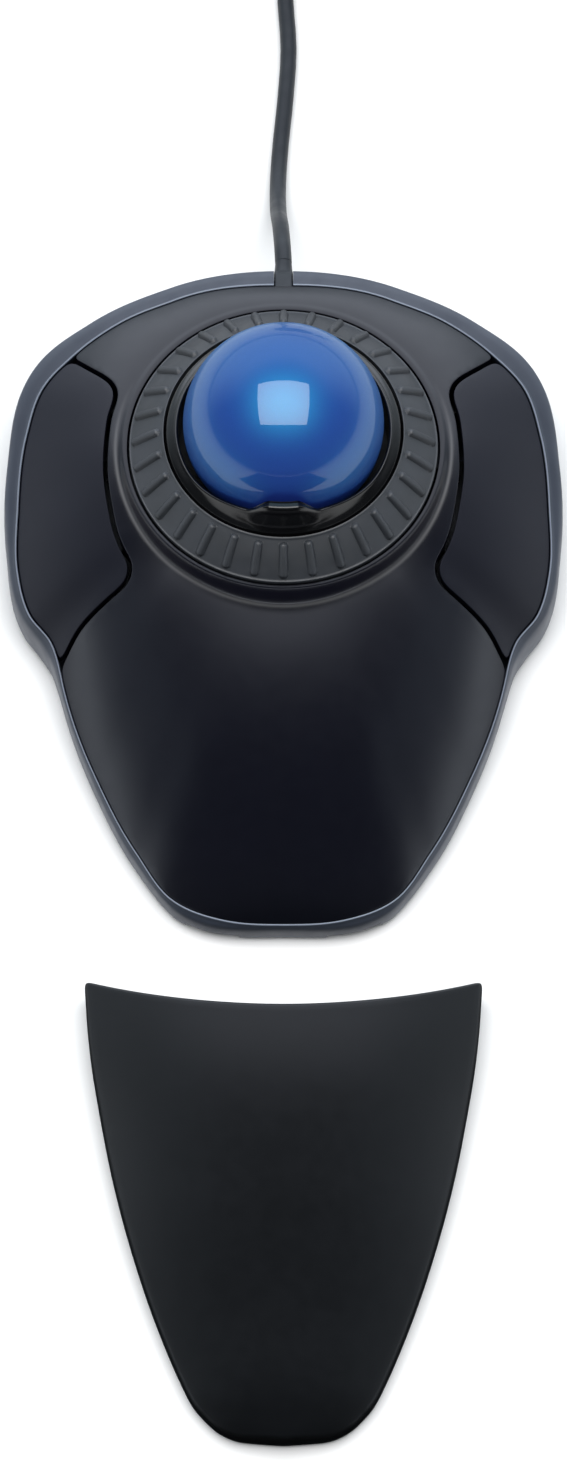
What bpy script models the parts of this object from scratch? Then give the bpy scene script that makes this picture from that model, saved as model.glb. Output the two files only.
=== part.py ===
"""Wired trackball mouse: ball, scroll ring, two keys and a wrist rest that slides off.

Sizes are in millimetres and MM turns them into Blender's metres. Plan positions are measured from the
ball's upright axis, +Y to the rear, and DATUM_Y moves that axis so that the origin is under the middle
of the footprint. Angles about the ball are measured from the rear, clockwise as seen from above.
"""

import math

import bmesh
import bpy
from mathutils import Matrix, Vector

MM = 0.001

# Plan outlines, right half only, as (half width, y) from the rear to the front.
SHOULDER = [
    (0, 42.9), (23.0, 39.5), (39.7, 32.1), (49.6, 24.7), (53.9, 17.2), (56.3, 2.2), (56.3, -15.3),
    (54.9, -25.4), (52.9, -30.4), (49.3, -35.4), (46.4, -40.5), (43.4, -50.6), (37.7, -65.7),
    (29.9, -80.9), (22.9, -90.5), (19.8, -93.0), (13.4, -95.4), (0, -95.9),
]
SEAM = [
    (0, 38.3), (22.0, 35.2), (33.0, 30.7), (42.7, 23.8), (49.0, 16.9), (52.1, 7.2), (53.6, -7.7),
    (53.5, -20.7), (51.1, -29.6), (46.5, -35.7), (44.3, -43.2), (37.5, -63.3), (29.0, -79.7),
    (22.2, -89.2), (12.2, -93.6), (0, -94.6),
]
KEY_LINE = [
    (42.8, 22.9), (39.5, 19.7), (35.3, 15.8), (33.9, 13.0), (34.1, 10.3), (35.2, 5.8), (35.7, -4.8),
    (34.2, -15.0), (32.6, -20.2), (30.7, -23.9), (30.6, -26.1), (31.6, -28.4), (34.3, -30.3),
    (38.0, -32.8), (41.2, -35.5), (44.1, -39.9),
]
REST_SIDE = [
    (38.8, -107.8), (37.7, -120.7), (35.7, -132.7), (32.8, -146.9), (29.0, -161.0), (24.3, -175.0),
    (18.5, -188.7), (15.4, -193.4), (8.8, -198.0), (0, -198.8),
]
REST_BACK_Y = -116.1
DATUM_Y = -(SHOULDER[0][1] + REST_SIDE[-1][1]) / 2

# Ball, its socket and the bezel round it.
BALL_R = 20.0
BALL_Z = 37.5
CUP_INNER_R = 20.8
CUP_OUTER_R = 23.8
CUP_HOLE_R = 5.0
FLANGE_R = 27.2
FLANGE_Z = (24.3, 26.3)
BEARING_R = 1.25
BEARING_DROP = 45.0
BEARING_ANGLES = (0.0, 120.0, 240.0)
BEZEL_R = (21.0, 23.6)
BEZEL_Z = (26.6, 35.6)
HOOD_Z = 42.8

# Scroll ring and its encoder wheel.
RING_OUTER = (31.0, 28.2)
RING_INNER = (24.0, 34.5)
RIBS = 32
RIB_HEIGHT = 0.5
WHEEL_R = (28.4, 29.4)
WHEEL_Z = (21.0, 24.0, 27.5)

# Housing, cover and keys.
GAP = 0.3
SIDE_GAP = 0.4
HOUSING_BOTTOM = 1.0
FLOOR_TOP = 3.0
SHELL = 2.0
COLLAR_R = (31.4, 32.3, 33.0, 33.9)
COLLAR_Z = 28.2
SHOULDER_SHARE = [(0, 0.92), (90, 0.88), (130, 0.62), (180, 0.62)]
PALM_START = [(0, 28.1), (85, 28.0), (140, 24.6), (180, 23.5)]
PALM_POWER = [(0, 2.0), (90, 1.6), (180, 2.15)]
LEDGE_DEPTH = [(0, 2.3), (50, 2.3), (75, 3.8), (135, 3.8), (150, 2.3), (180, 2.3)]
KEY_GAP = 0.8
KEY_TAB = (35.5, 38.5, 11.0, 24.0, 17.5, 19.0)
KEY_HINGE = (20.0, 21.0)
SWITCH_XY = (40.0, -18.0)
SWITCH_SIZE = (5.8, 12.8, 6.5)
SWITCH_TRAVEL = 0.8

# Boards, fasteners and feet.
BOARD = (44.0, -26.0, 7.0, 7.0, 8.6)
SOCKET_LUG_ANGLES = (65.0, 125.0, 235.0, 295.0)
SOCKET_LUG_R = 34.0
SOCKET_LUG_Z = (17.0, 19.0)
BOARD_SCREWS = [(-34.0, 3.0), (34.0, 3.0)]
HOUSING_SCREWS = [(-25.5, 26.5), (25.5, 26.5), (-20.0, -58.0), (20.0, -58.0)]
FEET = [(-40.0, 10.0), (40.0, 10.0), (-22.0, -76.0), (22.0, -76.0)]
FOOT_R = 5.5
FOOT_TOP = 1.3
SENSOR_DROP = 45.0

# Wrist rest.
REST_CREST = [(-198.8, 6.0), (-190, 8.5), (-175, 11.0), (-150, 15.5), (-130, 18.0), (-107, 18.0)]
REST_EDGE = [(-198.8, 4.5), (-150, 6.5), (-107, 9.0)]
REST_CENTRE_Y = -150.0
REST_WALL = 2.2
REST_DOCK_Y = -137.0
REST_PLATE_TOP = 3.3
REST_FEET = [(-25.0, -145.0), (25.0, -145.0), (-12.0, -184.0), (12.0, -184.0)]
REST_FOOT_R = 4.5
TONGUE = (9.0, 19.0, -124.5, 1.3, 2.6)

# Cable, in the order in which it leaves the housing.
CABLE_R = 1.75
CABLE_EXIT_Z = 20.9
LEAD = [
    (0, 31.9, 20.6), (0, 30.4, 19.4), (0, 28.2, 17.4), (0, 24, 14), (0, 18, 11.6), (0, 12, 10.9),
    (0, 6.5, 10.9),
]
RUN = [
    (0, 46.8, 20.9), (-0.2, 51.2, 20.1), (-0.6, 58.5, 16.2), (-1.0, 65, 10.0), (-1.2, 72, 5.0),
    (-1.1, 79.5, 2.5), (-0.6, 88, 1.8), (0.4, 99.3, 1.8), (1.1, 112.1, 1.8), (0.4, 125, 1.8),
    (0.3, 132.7, 1.8), (-1.3, 140.0, 1.8), (-5.8, 145.8, 1.8), (-12.9, 155.8, 1.8), (-15.5, 168, 1.8),
]
TAIL = [
    (15, 198.4, 1.8), (25, 198.4, 1.8), (34, 197.3, 1.8), (42, 194.3, 1.8), (48.5, 189, 2.3),
    (52, 182, 3.4), (52.5, 175.3, 4.0),
]
COIL_XY = (15.0, 168.0)
COIL_R = (14.0, 28.0)
COIL_TOP = 11.0
TIE_ANGLE = 140.0
PLUG_XY = (52.5, 174.7)
PLUG_BOOT = [
    (0, 4.4, 4.4), (9, 5.6, 5.6), (10.5, 14.0, 7.0), (13, 15.6, 8.0), (32, 15.6, 8.0), (34, 14.6, 7.2),
]
PLUG_SHELL = (12.0, 4.5, 12.0)
PLUG_SHELL_WALL = 0.4

AROUND = 64
COLOURS = {
    "cover_plastic": ((0.030, 0.033, 0.038), 0.42, 0.0),
    "housing_plastic": ((0.12, 0.13, 0.16), 0.45, 0.0),
    "ring_plastic": ((0.075, 0.082, 0.090), 0.55, 0.0),
    "gloss_black": ((0.008, 0.008, 0.010), 0.12, 0.0),
    "ball_blue": ((0.010, 0.11, 0.50), 0.10, 0.3),
    "rest_rubber": ((0.016, 0.017, 0.019), 0.75, 0.0),
    "foot_rubber": ((0.05, 0.05, 0.055), 0.8, 0.0),
    "cable_rubber": ((0.030, 0.031, 0.034), 0.6, 0.0),
    "board_green": ((0.02, 0.16, 0.07), 0.5, 0.0),
    "chip_black": ((0.02, 0.02, 0.02), 0.5, 0.0),
    "clear_lens": ((0.75, 0.80, 0.85), 0.1, 0.0),
    "steel": ((0.60, 0.60, 0.62), 0.3, 1.0),
    "white_plastic": ((0.80, 0.80, 0.78), 0.4, 0.0),
}


def clear_scene():
    for obj in list(bpy.data.objects):
        bpy.data.objects.remove(obj)


def paint(name):
    """The Principled material of this name, made on first use."""
    if name in bpy.data.materials:
        return bpy.data.materials[name]
    colour, roughness, metallic = COLOURS[name]
    material = bpy.data.materials.new(name)
    material.use_nodes = True
    shader = material.node_tree.nodes["Principled BSDF"]
    shader.inputs["Base Color"].default_value = (*colour, 1.0)
    shader.inputs["Roughness"].default_value = roughness
    shader.inputs["Metallic"].default_value = metallic
    return material


def solid(name, mesh, finish, origin=(0, 0, 0)):
    """A named object from a millimetre bmesh, with its origin at a point of the design frame."""
    origin = Vector(origin)
    bmesh.ops.transform(mesh, matrix=Matrix.Scale(MM, 4) @ Matrix.Translation(-origin), verts=mesh.verts)
    data = bpy.data.meshes.new(name)
    mesh.to_mesh(data)
    mesh.free()
    data.shade_smooth()
    data.set_sharp_from_angle(angle=math.radians(35))
    data.materials.append(paint(finish))
    obj = bpy.data.objects.new(name, data)
    obj.location = (origin + Vector((0, DATUM_Y, 0))) * MM
    bpy.context.scene.collection.objects.link(obj)
    return obj


def eased(knots, u):
    """A curve through (u, value) knots, level at each, so that it never overshoots one."""
    u = min(max(u, knots[0][0]), knots[-1][0])
    for (u0, v0), (u1, v1) in zip(knots, knots[1:]):
        if u <= u1:
            t = (u - u0) / (u1 - u0)
            return v0 + (v1 - v0) * t * t * (3 - 2 * t)
    return knots[-1][1]


def smooth(knots, u):
    """A cubic through (u, value) knots, its slope at a knot taken from that knot's neighbours."""
    u = min(max(u, knots[0][0]), knots[-1][0])
    k = max(i for i in range(len(knots) - 1) if knots[i][0] <= u or i == 0)

    def slope(i):
        (ua, va), (ub, vb) = knots[max(i - 1, 0)], knots[min(i + 1, len(knots) - 1)]
        return (vb - va) / (ub - ua)

    (u0, v0), (u1, v1) = knots[k], knots[k + 1]
    h = u1 - u0
    t = (u - u0) / h
    start = (2 * t**3 - 3 * t**2 + 1) * v0 + (t**3 - 2 * t**2 + t) * h * slope(k)
    return start + (3 * t**2 - 2 * t**3) * v1 + (t**3 - t**2) * h * slope(k + 1)


def polar_knots(outline, centre_y=0.0):
    """(angle from the rear, radius) knots of a half outline, with a mirrored knot past each end."""
    knots = [(math.degrees(math.atan2(x, y - centre_y)), math.hypot(x, y - centre_y)) for x, y in outline]
    return [(-knots[1][0], knots[1][1]), *knots, (360 - knots[-2][0], knots[-2][1])]


def folded(angle):
    """The angle from the rear, 0 to 180, on either side."""
    return abs((angle + 180) % 360 - 180)


SHOULDER_KNOTS = polar_knots(SHOULDER)
SEAM_KNOTS = polar_knots(SEAM)


def shoulder_r(angle):
    return smooth(SHOULDER_KNOTS, folded(angle))


def seam_r(angle):
    return smooth(SEAM_KNOTS, folded(angle))


def seam_z(angle):
    """Height of the seam between cover and housing, a parabola along the length."""
    y = seam_r(angle) * math.cos(math.radians(angle))
    return 8.575e-4 * y * y + 0.1998 * y + 17.17


def cover_z(angle, r):
    """Height of the cover's top face outside the collar."""
    side = folded(angle)
    rho = min(max((r - COLLAR_R[0]) / (seam_r(angle) - COLLAR_R[0]), 0), 1)
    low = seam_z(angle)
    return low + (eased(PALM_START, side) - low) * (1 - rho ** eased(PALM_POWER, side))


def loft(loops, ring=False):
    """A closed skin through loops of points. One point is a pole, and a ring joins last to first."""
    mesh = bmesh.new()
    rows = [[mesh.verts.new(point) for point in loop] for loop in loops]
    pairs = list(zip(rows, rows[1:]))
    if ring:
        pairs.append((rows[-1], rows[0]))
    for low, high in pairs:
        count = max(len(low), len(high))
        for i in range(count):
            j = (i + 1) % count
            corners = [low[i % len(low)], low[j % len(low)], high[j % len(high)], high[i % len(high)]]
            mesh.faces.new(list(dict.fromkeys(corners)))
    for end in () if ring else (rows[0], rows[-1]):
        if len(end) > 2:
            mesh.faces.new(end)
    bmesh.ops.recalc_face_normals(mesh, faces=mesh.faces)
    return mesh


def around(stations, ring=False, count=AROUND):
    """A loft about the ball's axis. A station gives a radius and a height for an angle."""
    loops = []
    for station in stations:
        loop = []
        for k in range(count):
            angle = 360 * k / count
            r, z = station(angle)
            loop.append((r * math.sin(math.radians(angle)), r * math.cos(math.radians(angle)), z))
        loops.append(loop)
    return loft(loops, ring)


def turned(profile, count, ring=False, x=0.0, y=0.0):
    """A turned piece from its (radius, height) profile. A radius of 0 is a pole."""
    loops = []
    for r, z in profile:
        steps = [2 * math.pi * k / count for k in range(count)]
        loop = [(x + r * math.sin(a), y + r * math.cos(a), z) for a in steps]
        loops.append(loop if r else [(x, y, z)])
    return loft(loops, ring)


def rod(x, y, z0, z1, r, count=12):
    return turned([(r, z0), (r, z1)], count, x=x, y=y)


def prism(points, z0, z1):
    return loft([[(x, y, z) for x, y in points] for z in (z0, z1)])


def block(x0, x1, y0, y1, z0, z1):
    return prism([(x0, y0), (x1, y0), (x1, y1), (x0, y1)], z0, z1)


def joined(meshes):
    """Several bmeshes that don't touch, as one."""
    total = bmesh.new()
    for mesh in meshes:
        data = bpy.data.meshes.new("joined")
        mesh.to_mesh(data)
        mesh.free()
        total.from_mesh(data)
        bpy.data.meshes.remove(data)
    return total


def boolean(body, operation, tool):
    """The body joined with, cut by or limited to the tool."""
    holders = []
    for mesh in (body, tool):
        data = bpy.data.meshes.new("holder")
        mesh.to_mesh(data)
        mesh.free()
        holders.append(bpy.data.objects.new("holder", data))
        bpy.context.scene.collection.objects.link(holders[-1])
    modifier = holders[0].modifiers.new("boolean", "BOOLEAN")
    modifier.operation = operation
    modifier.object = holders[1]
    graph = bpy.context.evaluated_depsgraph_get()
    result = bmesh.new()
    result.from_mesh(holders[0].evaluated_get(graph).to_mesh())
    for holder in holders:
        bpy.data.objects.remove(holder)
    bmesh.ops.remove_doubles(result, verts=result.verts, dist=0.002)
    return result


def on_circle(angle, r):
    return r * math.sin(math.radians(angle)), r * math.cos(math.radians(angle))


def housing_shell():
    def rim(outward, up):
        return lambda a: (seam_r(a) + outward, seam_z(a) + up)

    def wall(share, inward, z):
        return lambda a: (shoulder_r(a) - inward, z + share * seam_z(a))

    def shoulder(a):
        return shoulder_r(a), eased(SHOULDER_SHARE, folded(a)) * seam_z(a)

    def crown(a):
        lip = seam_r(a) + SIDE_GAP + 0.6
        drop = 0.26 * (1 - eased(SHOULDER_SHARE, folded(a)))
        return lip + 0.62 * (shoulder_r(a) - lip), (1 - drop) * seam_z(a)

    def ledge(outward):
        return lambda a: (seam_r(a) + outward, seam_z(a) - eased(LEDGE_DEPTH, folded(a)))

    stations = [
        wall(0, 4.0, HOUSING_BOTTOM), wall(0, 1.3, 2.0), wall(0.35, 0.2, 0.5), shoulder, crown,
        rim(SIDE_GAP + 0.6, 0.1), rim(SIDE_GAP, 0), ledge(SIDE_GAP), ledge(-2.0),
        lambda a: (seam_r(a) - 2.0, FLOOR_TOP),
    ]
    return around(stations)


def housing_posts():
    """Posts that stand on the floor, started just inside it so that they join it."""
    root = FLOOR_TOP - 0.5
    posts = [rod(x, y, root, BOARD[3] - GAP, 2.6) for x, y in BOARD_SCREWS]
    for angle in SOCKET_LUG_ANGLES:
        posts.append(rod(*on_circle(angle, SOCKET_LUG_R), root, SOCKET_LUG_Z[0] - GAP, 3.0))
    posts += [rod(x, y, root, 5.5, 5.0) for x, y in HOUSING_SCREWS]
    for side in (-1, 1):
        posts.append(rod(side * (KEY_TAB[0] + KEY_TAB[1]) / 2, 21.5, root, KEY_TAB[4] - GAP, 1.4))
        x0, x1, end, _, _ = TONGUE
        posts.append(block(*sorted((side * (x0 - 1.5), side * (x1 + 1.5))), -91.5, -83.0, root, 3.7))
    return joined(posts)


def housing_cuts():
    cuts = [rod(x, y, 0, FOOT_TOP + GAP, FOOT_R + 0.5) for x, y in FEET]
    for x, y in HOUSING_SCREWS:
        cuts.append(turned([(3.3, 0), (3.3, 3.0), (1.8, 3.0), (1.8, 7.0)], 12, x=x, y=y))
    for angle in SOCKET_LUG_ANGLES:
        cuts.append(rod(*on_circle(angle, SOCKET_LUG_R), 10.5, 20.0, 1.5, 16))
    cuts += [rod(x, y, 4.2, 9.0, 1.5, 16) for x, y in BOARD_SCREWS]
    for side in (-1, 1):
        x0, x1, _, _, z1 = TONGUE
        cuts.append(block(*sorted((side * (x0 - GAP), side * (x1 + GAP))), -100, -85, 0, z1 + GAP))
    groove = rod(0, 0, 30, 50, 2.4)
    groove.transform(Matrix.Translation((0, 0, CABLE_EXIT_Z)) @ Matrix.Rotation(math.radians(-90), 4, "X"))
    cuts.append(groove)
    return joined(cuts)


def lower_housing():
    shell = boolean(housing_shell(), "UNION", housing_posts())
    shell = boolean(shell, "DIFFERENCE", housing_cuts())
    slot = block(-2.3, 2.3, 30, 50, CABLE_EXIT_Z, CABLE_EXIT_Z + 12)
    solid("lower_housing", boolean(shell, "DIFFERENCE", slot), "housing_plastic")


def cap_shell():
    """Cover and keys in one piece, before the key lines part them."""
    def top(share, down=0.0):
        def station(a):
            r = COLLAR_R[3] + share * (seam_r(a) - COLLAR_R[3])
            return r, cover_z(a, r) - down
        return station

    def skirt(a):
        return COLLAR_R[2], COLLAR_Z + 0.75 * (cover_z(a, COLLAR_R[3]) - COLLAR_Z)

    inner_low = lambda a: (COLLAR_R[0], eased(PALM_START, folded(a)) - SHELL)
    rim = [lambda a, r=r: (r, COLLAR_Z) for r in COLLAR_R[:2]]
    upper = [top(share) for share in (0, 0.25, 0.5, 0.75, 0.92, 1)]
    lower = [top(share, SHELL) for share in (1, 0.85, 0.55, 0.2)]
    return around([inner_low, *rim, skirt, *upper, *lower], ring=True)


def shifted(line, distance):
    """The open line moved to its left by a distance, with its two ends run on past the seam."""
    first = Vector(line[0]) + 1.2 * (Vector(line[0]) - Vector(line[1]))
    last = Vector(line[-1]) + 1.0 * (Vector(line[-1]) - Vector(line[-2]))
    points = [first, *map(Vector, line), last]
    moved = []
    for i, point in enumerate(points):
        run = (points[min(i + 1, len(points) - 1)] - points[max(i - 1, 0)]).normalized()
        moved.append(point + distance * Vector((-run.y, run.x)))
    return moved


def key_prism(side, distance):
    line = shifted(KEY_LINE, distance)
    points = [*line, Vector((70, line[-1].y)), Vector((70, line[0].y))]
    return prism([(side * p.x, p.y) for p in points], 5, 40)


def top_cover():
    cover = boolean(cap_shell(), "DIFFERENCE", joined([key_prism(s, -KEY_GAP / 2) for s in (-1, 1)]))
    bosses = []
    for x, y in HOUSING_SCREWS:
        angle, r = math.degrees(math.atan2(x, y)), math.hypot(x, y)
        bosses.append(rod(x, y, 5.5 + GAP, cover_z(angle, r + 3.0) - SHELL / 2, 3.0))
    cover = boolean(cover, "UNION", joined(bosses))
    holes = joined([rod(x, y, 4.0, 12.6, 1.7, 16) for x, y in HOUSING_SCREWS])
    solid("top_cover", boolean(cover, "DIFFERENCE", holes), "cover_plastic")


def key(side, name):
    cap = boolean(cap_shell(), "INTERSECT", key_prism(side, KEY_GAP / 2))
    x, y = SWITCH_XY
    x0, x1, y0, y1, z0, z1 = KEY_TAB
    boss = rod(side * x, y, 16.7, cover_z(math.degrees(math.atan2(x, y)), math.hypot(x, y)) - 1.2, 2.0)
    spread = sorted((side * x0, side * x1))
    arm = block(*spread, y0, y1, z0, z1)
    web = block(*spread, y0, y0 + 3, z0 + 0.5, 24.2)
    arm = boolean(arm, "UNION", web)
    cap = boolean(cap, "UNION", joined([boss, arm]))
    solid(name, cap, "cover_plastic", origin=(side * x, KEY_HINGE[0], KEY_HINGE[1]))


def sphere_arc(r, start, end, count):
    """(radius, height) points on a sphere about the ball's centre, by angle below its equator."""
    steps = [math.radians(start + (end - start) * k / (count - 1)) for k in range(count)]
    return [(r * math.cos(a), BALL_Z - r * math.sin(a)) for a in steps]


def below(azimuth, drop, distance):
    """The point at a distance from the ball's centre, drop degrees below the equator."""
    x, y = on_circle(azimuth, distance * math.cos(math.radians(drop)))
    return Vector((x, y, BALL_Z - distance * math.sin(math.radians(drop))))


def ball_socket():
    inner = sphere_arc(CUP_INNER_R, math.degrees(math.acos(CUP_HOLE_R / CUP_INNER_R)), 32.6, 5)
    outer = sphere_arc(CUP_OUTER_R, 33.7, math.degrees(math.acos(CUP_HOLE_R / CUP_OUTER_R)), 5)
    flange = [(FLANGE_R, FLANGE_Z[1]), (FLANGE_R, FLANGE_Z[0])]
    cup = turned(inner + flange + outer, 36, ring=True)
    lugs, holes = [], []
    for angle in SOCKET_LUG_ANGLES:
        lug = block(-3.5, 3.5, 12.6, SOCKET_LUG_R + 3.2, *SOCKET_LUG_Z)
        lug.transform(Matrix.Rotation(math.radians(-angle), 4, "Z"))
        lugs.append(lug)
        holes.append(rod(*on_circle(angle, SOCKET_LUG_R), 15, 21, 1.5, 16))
    for azimuth in BEARING_ANGLES:
        pocket = bmesh.new()
        centre = Matrix.Translation(below(azimuth, BEARING_DROP, BALL_R + GAP + BEARING_R))
        bmesh.ops.create_icosphere(pocket, subdivisions=1, radius=BEARING_R + 2 * GAP, matrix=centre)
        holes.append(pocket)
    window = rod(0, 0, 19, 26, 3.4, 20)
    window.transform(facing_ball())
    holes.append(window)
    cup = boolean(cup, "UNION", joined(lugs))
    solid("ball_socket", boolean(cup, "DIFFERENCE", joined(holes)), "chip_black")


def facing_ball():
    """A frame at the ball's centre whose +Z runs forward and down to the motion sensor."""
    turn = Matrix.Rotation(math.radians(90 + SENSOR_DROP), 4, "X")
    return Matrix.Translation((0, 0, BALL_Z)) @ turn


def sensor_pieces():
    for name, half, near, far, finish in (
        ("sensor_lens", (4.5, 4.0), 24.3, 26.9, "clear_lens"),
        ("sensor_chip", (4.0, 3.0), 27.2, 28.7, "chip_black"),
        ("sensor_board", (7.0, 6.0), 29.0, 30.2, "board_green"),
    ):
        plate = block(-half[0], half[0], -half[1], half[1], near, far)
        plate.transform(facing_ball())
        solid(name, plate, finish)


def ball_bearings():
    for k, azimuth in enumerate(BEARING_ANGLES):
        bead = bmesh.new()
        centre = below(azimuth, BEARING_DROP, BALL_R + GAP + BEARING_R)
        bmesh.ops.create_icosphere(bead, subdivisions=2, radius=BEARING_R, matrix=Matrix.Translation(centre))
        solid(f"ball_bearing_{k + 1}", bead, "steel", origin=centre)


def ball():
    mesh = bmesh.new()
    centre = Matrix.Translation((0, 0, BALL_Z))
    bmesh.ops.create_uvsphere(mesh, u_segments=32, v_segments=16, radius=BALL_R, matrix=centre)
    solid("ball", mesh, "ball_blue", origin=(0, 0, BALL_Z))


def bezel_lip_z(angle):
    """The inner lip is level at the rear and rises to a hood at the front."""
    off_front = 180 - folded(angle)
    rise = 3.0 * (1 - eased([(15, 0), (65, 1)], off_front))
    return BEZEL_Z[1] + rise + (HOOD_Z - BEZEL_Z[1] - 3.0) * (1 - eased([(8, 0), (21, 1)], off_front))


def ball_bezel():
    r0, r1 = BEZEL_R
    z0, z1 = BEZEL_Z
    lean = lambda a: 0.07 * (bezel_lip_z(a) - z1)
    stations = [
        lambda a: (r0, z0), lambda a: (r1, z0), lambda a: (r1, z1 - 1.4),
        lambda a: (r1 - 0.9, z1 - 0.5 + 0.25 * (bezel_lip_z(a) - z1)),
        lambda a: (r0 + 0.9 - lean(a), bezel_lip_z(a)), lambda a: (r0 + 0.2 - lean(a), bezel_lip_z(a) - 0.2),
        lambda a: (r0, z1 - 1.5),
    ]
    solid("ball_bezel", around(stations, ring=True, count=48), "gloss_black")


def scroll_ring():
    (outer_r, outer_z), (inner_r, inner_z) = RING_OUTER, RING_INNER

    def on_cone(share):
        return inner_r + share * (outer_r - inner_r), inner_z + share * (outer_z - inner_z)

    base_z = FLANGE_Z[1] + GAP
    profile = [
        on_cone(1), on_cone(0.88), on_cone(0.14), on_cone(0), (inner_r, base_z), (inner_r + 1.6, base_z),
        (inner_r + 1.6, 31.5), (30.4, outer_z - 1.0), (outer_r, outer_z - 1.0),
    ]
    mesh = turned(profile, 3 * RIBS, ring=True)
    mesh.faces.ensure_lookup_table()
    ribs = [mesh.faces[3 * RIBS + k] for k in range(0, 3 * RIBS, 3)]
    raised = bmesh.ops.extrude_discrete_faces(mesh, faces=ribs)["faces"]
    for face in raised:
        face.normal_update()
        bmesh.ops.translate(mesh, verts=face.verts, vec=face.normal * RIB_HEIGHT)
    solid("scroll_ring", mesh, "ring_plastic", origin=(0, 0, outer_z))


def encoder_wheel():
    """A band with a tooth hanging from every other step of its lower edge."""
    inner, outer = WHEEL_R
    tooth_z, band_z, top_z = WHEEL_Z
    profile = [(inner, band_z), (outer, band_z), (outer, top_z), (inner, top_z)]
    count = 64
    mesh = turned(profile, count, ring=True)
    mesh.faces.ensure_lookup_table()
    teeth = [mesh.faces[k] for k in range(0, count, 2)]
    for face in bmesh.ops.extrude_discrete_faces(mesh, faces=teeth)["faces"]:
        bmesh.ops.translate(mesh, verts=face.verts, vec=(0, 0, tooth_z - band_z))
    solid("encoder_wheel", mesh, "chip_black", origin=(0, 0, band_z))


def electronics():
    half_x, y0, y1, z0, z1 = BOARD
    holes = [rod(x, y, 6, 10, 1.5, 16) for x, y in BOARD_SCREWS]
    holes += [rod(*on_circle(angle, SOCKET_LUG_R), 6, 10, 3.4) for angle in SOCKET_LUG_ANGLES[1:3]]
    board = boolean(block(-half_x, half_x, y0, y1, z0, z1), "DIFFERENCE", joined(holes))
    solid("main_board", board, "board_green")
    base = z1 + GAP
    solid("controller_chip", block(-23, -13, -13, -3, base, base + 1.2), "chip_black")
    solid("cable_connector", block(-5, 5, 1, 6, base, base + 4.0), "white_plastic")
    eye = block(26.6, 31.2, -3, 3, base, 23.8)
    slot = block(WHEEL_R[0] - 0.5, WHEEL_R[1] + 0.5, -4, 4, WHEEL_Z[0] - 0.6, 25)
    solid("encoder_sensor", boolean(eye, "DIFFERENCE", slot), "chip_black")


def switch(side, name):
    x, y = side * SWITCH_XY[0], SWITCH_XY[1]
    w, length, height = SWITCH_SIZE
    base = BOARD[4] + GAP
    case = block(x - w / 2, x + w / 2, y - length / 2, y + length / 2, base, base + height)
    well = rod(x, y, 12.2, 17, 1.4 + GAP, 16)
    solid(f"{name}_switch_body", boolean(case, "DIFFERENCE", well), "chip_black")
    top = 16.7 - GAP
    stem = rod(x, y, 12.2 + GAP + SWITCH_TRAVEL, top, 1.4, 16)
    solid(f"{name}_switch_plunger", stem, "white_plastic", origin=(x, y, top))


def screw(name, x, y, head_z, head_up, head_r, head_height, shank_r, length):
    """A pan-head screw. Its head's inner face is at head_z, and the shank runs the other way."""
    up = 1 if head_up else -1
    profile = [
        (0, -length), (shank_r, 0.6 - length), (shank_r, 0), (head_r, 0), (0.8 * head_r, head_height),
        (0.4 * head_r, head_height), (0, 0.5 * head_height),
    ]
    mesh = turned([(r, head_z + up * z) for r, z in profile], 10, x=x, y=y)
    solid(name, mesh, "steel", origin=(x, y, head_z))


def fasteners():
    for k, (x, y) in enumerate(HOUSING_SCREWS):
        screw(f"housing_screw_{k + 1}", x, y, 3.0 - GAP, False, 2.9, 1.4, 1.4, 9.0)
    lug_top = SOCKET_LUG_Z[1] + GAP
    for k, angle in enumerate(SOCKET_LUG_ANGLES):
        x, y = on_circle(angle, SOCKET_LUG_R)
        screw(f"socket_screw_{k + 1}", x, y, lug_top, True, 2.5, 1.6, 1.2, 8.3)
    for k, (x, y) in enumerate(BOARD_SCREWS):
        screw(f"board_screw_{k + 1}", x, y, BOARD[4] + GAP, True, 2.3, 1.4, 1.2, 4.0)


def foot(name, x, y, r):
    profile = [(0, 0), (r - 0.3, 0), (r, 0.5), (r, FOOT_TOP), (0, FOOT_TOP)]
    solid(name, turned(profile, 16, x=x, y=y), "foot_rubber", origin=(x, y, FOOT_TOP))


def rubber_feet():
    for k, (x, y) in enumerate(FEET):
        foot(f"rubber_foot_{k + 1}", x, y, FOOT_R)
    for k, (x, y) in enumerate(REST_FEET):
        foot(f"rest_foot_{k + 1}", x, y, REST_FOOT_R)


def rest_width(y):
    return smooth([(-py, px) for px, py in REST_SIDE], -y)


def rest_z(x, y):
    """Height of the wrist rest's top face: crowned across, and falling to the front."""
    across = min(abs(x) / max(rest_width(max(y, REST_SIDE[-1][1])), 0.1), 1)
    edge, crest = eased(REST_EDGE, y), smooth(REST_CREST, y)
    return edge + (crest - edge) * (1 - across**2.2)


def rest_outline(inset=0.0, back_shift=0.0):
    """The rest's plan outline: a hollow arc at the back and a long curve to the tip."""
    half, corner_y = REST_SIDE[0]
    sagitta = corner_y - REST_BACK_Y
    radius = (half * half + sagitta * sagitta) / (2 * sagitta)
    back = []
    for k in range(-7, 8):
        x = (half - inset) * k / 8
        back.append((x, REST_BACK_Y + radius - math.sqrt(radius * radius - x * x) + back_shift))
    side = [(half - inset, corner_y + back_shift)]
    for k in range(1, 15):
        y = corner_y + (REST_SIDE[-1][1] - corner_y) * (1 - (1 - k / 14) ** 1.35)
        side.append((max(rest_width(y) - inset, 0), min(y + inset * (k / 14) ** 6, 0)))
    left = [(-x, y) for x, y in side[:-1]]
    return back + side + left[::-1]


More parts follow.
